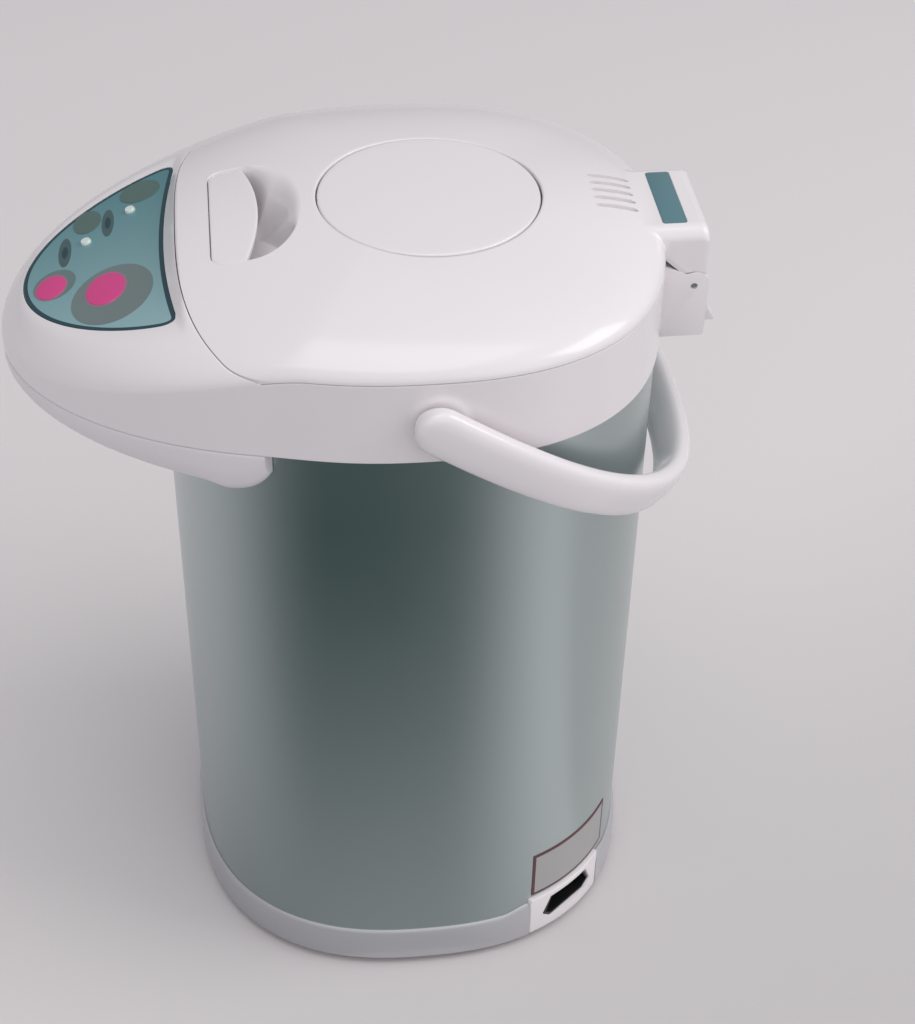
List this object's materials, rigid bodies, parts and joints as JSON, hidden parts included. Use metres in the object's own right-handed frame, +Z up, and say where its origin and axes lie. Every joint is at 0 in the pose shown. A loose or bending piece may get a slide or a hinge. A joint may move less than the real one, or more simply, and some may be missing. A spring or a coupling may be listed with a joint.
{
  "type": "electric thermo pot",
  "caption": "Electric thermo pot with a metallic sleeve, white pouring nose with keys, hinged pump lid, swing handle and turning base.",
  "frame": {"origin": "on the pot's upright axis at the table, level with the underside of the rubber feet", "axes": "+Z up, the pouring nose towards -Y, the lid hinge towards +Y, the power inlet on the +X side of the rear"},
  "size_m": [0.221, 0.2826, 0.3473],
  "materials": {
    "aluminium_plate": "satin",
    "badge_teal": "satin",
    "black_plastic": "satin",
    "brass_pins": "satin",
    "ceramic": "matt",
    "circuit_board": "satin",
    "clear_plastic": "clear",
    "dark_parts": "satin",
    "grey_key": "satin",
    "grey_rubber": "matt",
    "impeller_plastic": "satin",
    "inner_plastic": "satin",
    "label_film": "satin film",
    "lamp_lens": "gloss",
    "motor_can": "satin",
    "panel_print": "satin print",
    "pink_key": "satin",
    "screw_steel": "satin",
    "silicone": "matt",
    "sleeve_metal": "metallic paint, satin",
    "stainless": "brushed",
    "white_shell": "gloss",
    "white_trim": "gloss"
  },
  "bodies": {
    "stand": {"swivel_base": "white_trim", "swivel_feet": "grey_rubber", "glide_ring": "inner_plastic", "pivot_bolt": "screw_steel"},
    "pot": {"base_ring": "white_trim", "bottom_plate": "white_trim", "base_screws": "screw_steel", "outer_sleeve": "sleeve_metal", "rating_label": "label_film", "inlet_housing": "white_shell", "inlet_socket": "black_plastic", "inlet_pins": "brass_pins", "power_board": "circuit_board", "board_parts": "dark_parts", "tank_stand": "stainless", "inner_tank": "stainless", "tank_seal": "silicone", "heater": "aluminium_plate", "thermal_controls": "ceramic", "pump_motor": "motor_can", "pump_housing": "inner_plastic", "hoses": "silicone", "level_tube": "clear_plastic", "level_window": "clear_plastic", "collar": "white_shell", "mouth_ring": "white_shell", "catch_plate": "screw_steel", "spout_cover": "white_trim", "spout_pipe": "inner_plastic", "spout_nozzle": "inner_plastic", "panel_carrier": "inner_plastic", "panel_overlay": "panel_print", "panel_board": "circuit_board", "indicator_lenses": "lamp_lens", "hinge_bracket": "white_shell", "hinge_pin": "screw_steel", "bail_pins": "screw_steel"},
    "lid": {"lid_cover": "white_shell", "lid_tail": "white_shell", "tail_badge": "badge_teal", "lid_liner": "white_trim", "lid_gasket": "silicone", "lid_screws": "screw_steel", "steam_baffle": "inner_plastic", "finger_well": "white_trim", "latch_pin": "screw_steel", "press_guide": "inner_plastic", "press_spring": "screw_steel", "pump_bellows": "grey_rubber", "air_valve": "screw_steel"},
    "impeller": {"impeller": "impeller_plastic"},
    "handle": {"bail_handle": "white_shell"},
    "release": {"lid_release": "white_trim"},
    "press": {"press_disc": "white_shell"},
    "latch": {"latch_lever": "white_shell"},
    "bolt": {"latch_bolt": "inner_plastic"},
    "dispense": {"dispense_key": "pink_key"},
    "unlock": {"unlock_key": "pink_key"},
    "reboil": {"reboil_key": "grey_key"},
    "warm": {"warm_key": "grey_key"}
  },
  "joints": [
    {"name": "pot_turn", "type": "hinge", "parent": "stand", "child": "pot", "pos_m": [0, 0, 0], "axis": [0, 0, 1], "continuous": true},
    {"name": "lid_hinge", "type": "hinge", "parent": "pot", "child": "lid", "pos_m": [0, 0.1114, 0.3139], "axis": [-1, 0, 0], "range_deg": [0, 75]},
    {"name": "handle_swing", "type": "hinge", "parent": "pot", "child": "handle", "pos_m": [0, 0.002, 0.3113], "axis": [1, 0, 0], "range_deg": [0, 130]},
    {"name": "release_tab", "type": "hinge", "parent": "pot", "child": "release", "pos_m": [0, 0.1144, 0.3025], "axis": [1, 0, 0], "range_deg": [0, 10], "stiffness_Nm_per_rad": 0.05, "springref_deg": -10},
    {"name": "impeller_spin", "type": "hinge", "parent": "pot", "child": "impeller", "pos_m": [0.016, -0.045, 0.04], "axis": [0, 0, 1], "continuous": true},
    {"name": "press_slide", "type": "slide", "parent": "lid", "child": "press", "axis": [0, 0, -1], "range_m": [0, 0.02], "stiffness_N_per_m": 300, "springref_m": -0.02, "deforming": ["press_spring", "pump_bellows"]},
    {"name": "latch_lift", "type": "hinge", "parent": "lid", "child": "latch", "pos_m": [0, -0.074, 0.3379], "axis": [1, 0, 0], "range_deg": [0, 25], "stiffness_Nm_per_rad": 0.06, "springref_deg": -15},
    {"name": "bolt_slide", "type": "slide", "parent": "lid", "child": "bolt", "axis": [0, 1, 0], "range_m": [0, 0.0036], "stiffness_N_per_m": 120, "springref_m": -0.004},
    {"name": "dispense_press", "type": "slide", "parent": "pot", "child": "dispense", "axis": [0, 0.2874, -0.9578], "range_m": [0, 0.0006], "stiffness_N_per_m": 800, "springref_m": -0.001},
    {"name": "unlock_press", "type": "slide", "parent": "pot", "child": "unlock", "axis": [0, 0.2874, -0.9578], "range_m": [0, 0.0006], "stiffness_N_per_m": 800, "springref_m": -0.001},
    {"name": "reboil_press", "type": "slide", "parent": "pot", "child": "reboil", "axis": [0, 0.2874, -0.9578], "range_m": [0, 0.0006], "stiffness_N_per_m": 800, "springref_m": -0.001},
    {"name": "warm_press", "type": "slide", "parent": "pot", "child": "warm", "axis": [0, 0.2874, -0.9578], "range_m": [0, 0.0006], "stiffness_N_per_m": 800, "springref_m": -0.001}
  ]
}
